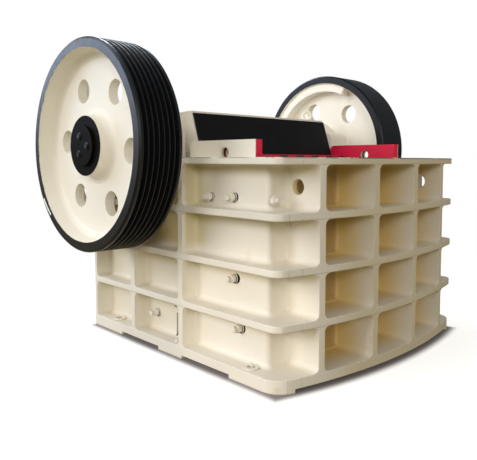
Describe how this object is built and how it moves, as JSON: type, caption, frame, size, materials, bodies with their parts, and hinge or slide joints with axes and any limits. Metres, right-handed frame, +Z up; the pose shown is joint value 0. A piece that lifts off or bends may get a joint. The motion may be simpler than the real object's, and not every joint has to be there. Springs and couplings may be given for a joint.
{
  "type": "jaw crusher",
  "caption": "Fine jaw crusher with a ribbed cast frame, a wide slot-shaped feed mouth, ridged jaw plates, an eccentric shaft, a grooved belt wheel and a plain flywheel.",
  "frame": {"origin": "on the floor, at the centre of the four foundation holes", "axes": "+Z up; -Y is the bowed ribbed front; -X is the grooved belt wheel's side and +X the plain flywheel's side; the shaft lies along X"},
  "size_m": [1.9, 1.61, 1.424],
  "materials": {
    "frame_cream": "semi-gloss enamel",
    "wheel_black": "satin enamel",
    "guard_black": "matte enamel",
    "liner_red": "satin primer",
    "shaft_steel": "turned",
    "cast_grey": "as cast"
  },
  "bodies": {
    "frame": {"front_wall": "frame_cream", "rear_wall": "frame_cream", "side_wall_left": "frame_cream", "side_wall_right": "frame_cream", "top_flange_front": "frame_cream", "top_flange_rear": "frame_cream", "top_flange_left": "frame_cream", "top_flange_right": "frame_cream", "shelves_front": "frame_cream", "shelves_rear": "frame_cream", "shelves_left": "frame_cream", "shelves_right": "frame_cream", "base_flange_front": "frame_cream", "base_flange_rear": "frame_cream", "base_flange_left": "frame_cream", "base_flange_right": "frame_cream", "ribs_front": "frame_cream", "ribs_rear": "frame_cream", "ribs_left": "frame_cream", "ribs_right": "frame_cream", "fixed_jaw_plate": "liner_red", "cheek_plate_left": "liner_red", "cheek_plate_right": "liner_red", "bearing_housing_left": "frame_cream", "bearing_housing_right": "frame_cream", "bearing_cover_left": "frame_cream", "bearing_cover_right": "frame_cream", "lifting_eyes": "frame_cream", "toggle_plate": "cast_grey", "toggle_block": "cast_grey", "toggle_shims": "cast_grey", "toggle_beam": "frame_cream", "tension_rods": "shaft_steel", "tension_springs": "shaft_steel"},
    "rotor": {"eccentric_shaft": "shaft_steel", "belt_wheel": "wheel_black", "flywheel": "wheel_black", "counterweight_left": "frame_cream", "counterweight_right": "frame_cream", "end_disc_left": "wheel_black", "end_disc_right": "wheel_black"},
    "pitman_body": {"pitman": "frame_cream", "moving_jaw_plate": "liner_red", "guard_plate": "guard_black"}
  },
  "joints": [
    {"name": "shaft_spin", "type": "hinge", "parent": "frame", "child": "rotor", "pos_m": [0, 0.2745, 0.945], "axis": [1, 0, 0], "continuous": true},
    {"name": "pitman_pivot", "type": "hinge", "parent": "rotor", "child": "pitman_body", "pos_m": [0, 0.26862, 0.93691], "axis": [1, 0, 0], "continuous": true}
  ],
  "couplings": [
    {"joint": "pitman_pivot", "follows": "shaft_spin", "ratio": -1}
  ]
}
